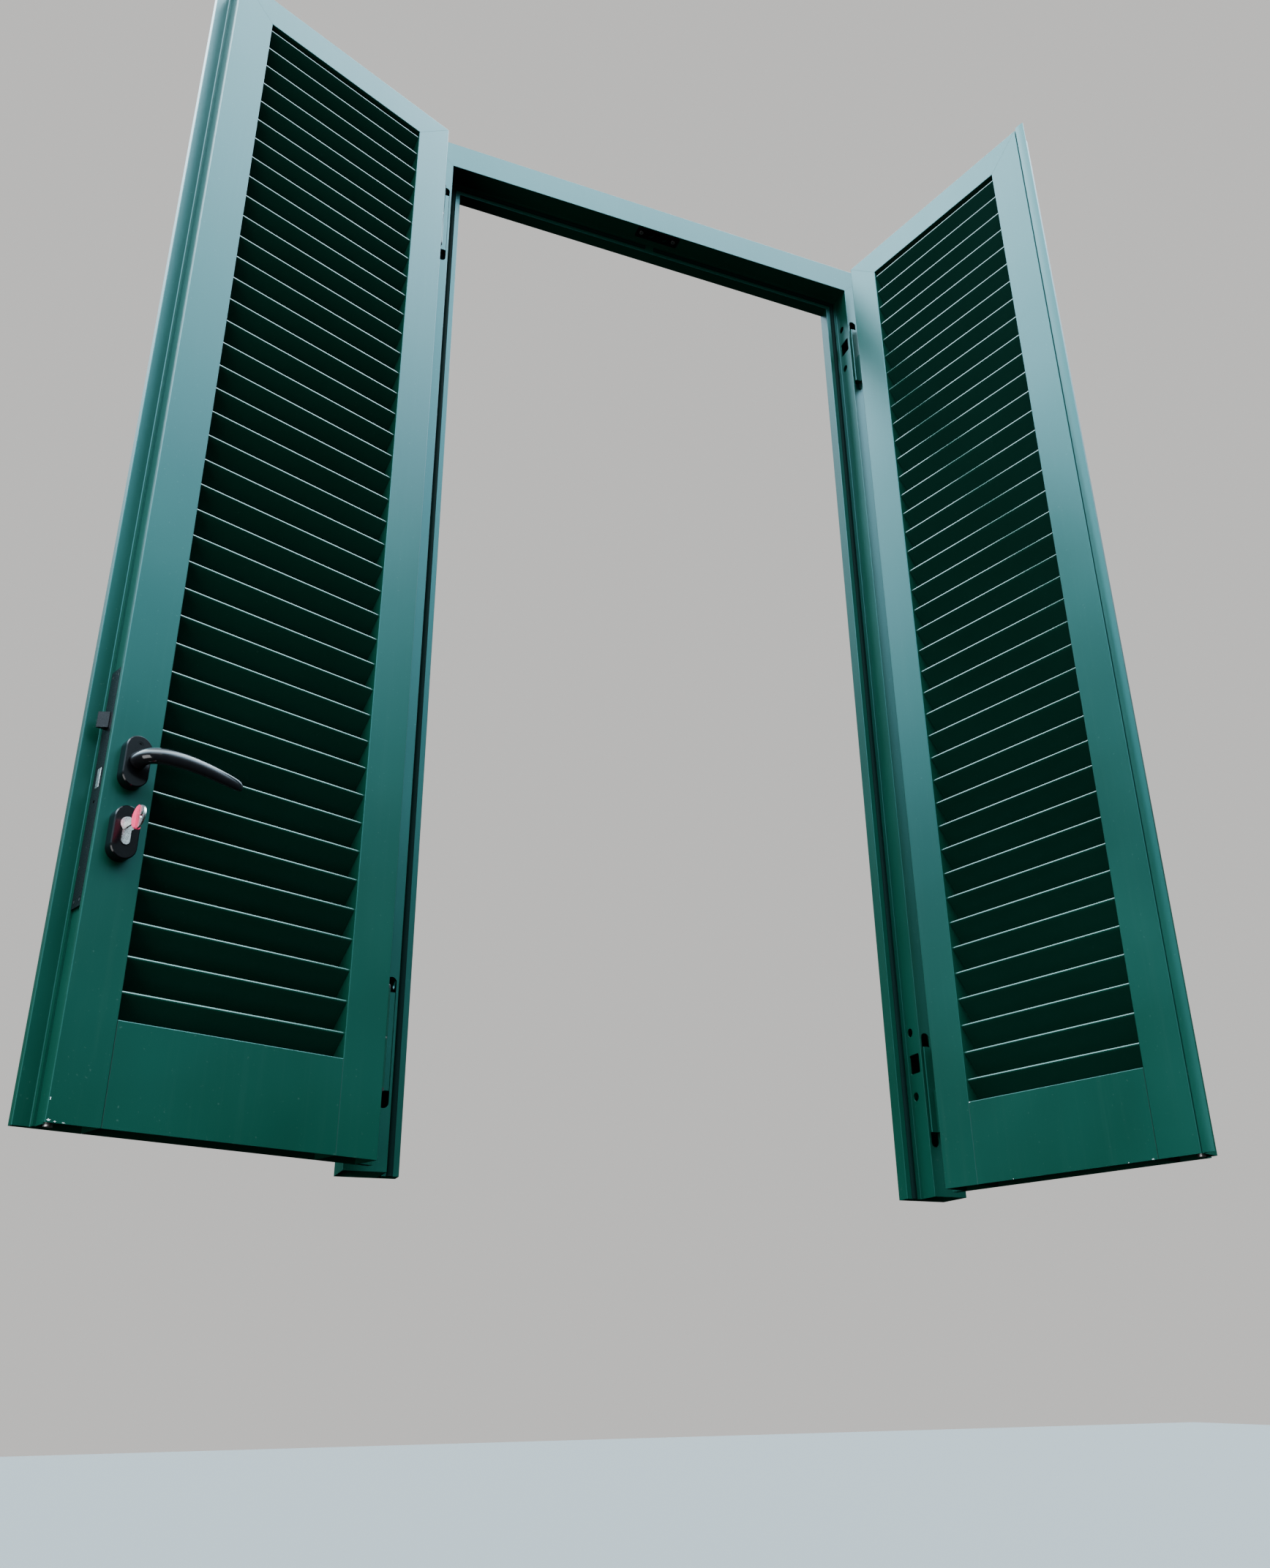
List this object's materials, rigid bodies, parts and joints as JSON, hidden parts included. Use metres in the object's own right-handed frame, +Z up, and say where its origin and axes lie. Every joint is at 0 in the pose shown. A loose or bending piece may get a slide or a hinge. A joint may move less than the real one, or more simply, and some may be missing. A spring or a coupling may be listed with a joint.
{
  "type": "louvred window shutters",
  "caption": "Pair of outward-opening louvred aluminium shutters on a three-sided frame, with pin hinges, lever handle, keyed lock and shoot rods, shown standing open",
  "frame": {"origin": "on the back face of the frame's head, midway between the jambs, level with the underside of the head's outer face", "axes": "+X to the right seen from the street, +Y into the wall, +Z up"},
  "size_m": [1.3842, 0.5216, 1.8345],
  "materials": {
    "green_coat": "satin deep green powder coat on aluminium",
    "cast_keys": "plain cast",
    "rod_aluminium": "plain drawn rod",
    "seal_rubber": "matt black",
    "black_plastic": "fine matt",
    "steel": "zinc plated",
    "black_coat": "satin black",
    "gloss_black_coat": "gloss black",
    "nickel": "satin nickel, lightly scratched",
    "pink_plastic": "soft plastic"
  },
  "bodies": {
    "frame": {"frame_head": "green_coat", "frame_jamb_left": "green_coat", "frame_jamb_right": "green_coat", "frame_corner_keys": "cast_keys", "frame_seals": "seal_rubber", "head_strike_plate": "black_coat", "strike_screws": "steel", "left_hinge_bases": "green_coat", "right_hinge_bases": "green_coat", "hinge_pins": "steel", "hinge_rings": "steel", "hinge_caps": "black_plastic"},
    "left_leaf": {"left_hinge_stile": "green_coat", "left_lock_stile": "green_coat", "left_top_rail": "green_coat", "left_bottom_rail": "green_coat", "left_slats": "green_coat", "left_corner_keys": "cast_keys", "left_hinge_wings": "green_coat", "left_wing_screws": "steel", "left_rod_guides": "black_plastic", "lock_case": "steel", "lock_faceplate": "black_coat", "faceplate_screws": "black_coat", "handle_rosette": "black_coat", "rosette_screw": "steel", "escutcheon": "black_coat", "lock_cylinder": "nickel"},
    "lever": {"lever_handle": "gloss_black_coat", "handle_spindle": "steel"},
    "latch": {"latch_bolt": "steel"},
    "bolt": {"dead_bolt": "steel"},
    "key": {"cylinder_plug": "nickel", "key_blade": "nickel", "key_cap": "pink_plastic"},
    "left_top_rod": {"left_upper_rod": "rod_aluminium"},
    "left_foot_rod": {"left_lower_rod": "rod_aluminium"},
    "right_leaf": {"right_hinge_stile": "green_coat", "right_meeting_stile": "green_coat", "right_top_rail": "green_coat", "right_bottom_rail": "green_coat", "right_slats": "green_coat", "right_corner_keys": "cast_keys", "right_hinge_wings": "green_coat", "right_wing_screws": "steel", "right_rod_guides": "black_plastic", "right_cover_strip": "green_coat", "right_strike_plate": "black_coat"},
    "right_top_rod": {"right_upper_rod": "rod_aluminium"},
    "right_foot_rod": {"right_lower_rod": "rod_aluminium"}
  },
  "joints": [
    {"name": "left_leaf_swing", "type": "hinge", "parent": "frame", "child": "left_leaf", "pos_m": [-0.4315, -0.0765, -0.88], "axis": [0, 0, 1], "range_deg": [-18, 157.8]},
    {"name": "right_leaf_swing", "type": "hinge", "parent": "frame", "child": "right_leaf", "pos_m": [0.4315, -0.0765, -0.89], "axis": [0, 0, 1], "range_deg": [-105.3, 70.5]},
    {"name": "lever_turn", "type": "hinge", "parent": "left_leaf", "child": "lever", "pos_m": [-0.77702, -0.28717, -1.365], "axis": [-0.3778, 0.9259, 0], "range_deg": [0, 35], "stiffness_Nm_per_rad": 0.5, "springref_deg": -34.38},
    {"name": "latch_slide", "type": "slide", "parent": "left_leaf", "child": "latch", "axis": [0.9259, 0.3778, 0], "range_m": [0, 0.011]},
    {"name": "key_turn", "type": "hinge", "parent": "left_leaf", "child": "key", "pos_m": [-0.77645, -0.28856, -1.444], "axis": [-0.3778, 0.9259, 0], "range_deg": [0, 360]},
    {"name": "dead_bolt_slide", "type": "slide", "parent": "left_leaf", "child": "bolt", "axis": [-0.9259, -0.3778, 0], "range_m": [0, 0.02]},
    {"name": "left_top_rod_slide", "type": "slide", "parent": "left_leaf", "child": "left_top_rod", "axis": [0, 0, 1], "range_m": [0, 0.018]},
    {"name": "left_foot_rod_slide", "type": "slide", "parent": "left_leaf", "child": "left_foot_rod", "axis": [0, 0, -1], "range_m": [0, 0.018]},
    {"name": "right_top_rod_slide", "type": "slide", "parent": "right_leaf", "child": "right_top_rod", "axis": [0, 0, 1], "range_m": [0, 0.018]},
    {"name": "right_foot_rod_slide", "type": "slide", "parent": "right_leaf", "child": "right_foot_rod", "axis": [0, 0, -1], "range_m": [0, 0.018]}
  ],
  "couplings": [
    {"joint": "latch_slide", "follows": "lever_turn", "m_per_rad": 0.018},
    {"joint": "dead_bolt_slide", "follows": "key_turn", "m_per_rad": 0.00318},
    {"joint": "left_top_rod_slide", "follows": "key_turn", "m_per_rad": 0.00286},
    {"joint": "left_foot_rod_slide", "follows": "key_turn", "m_per_rad": 0.00286}
  ]
}
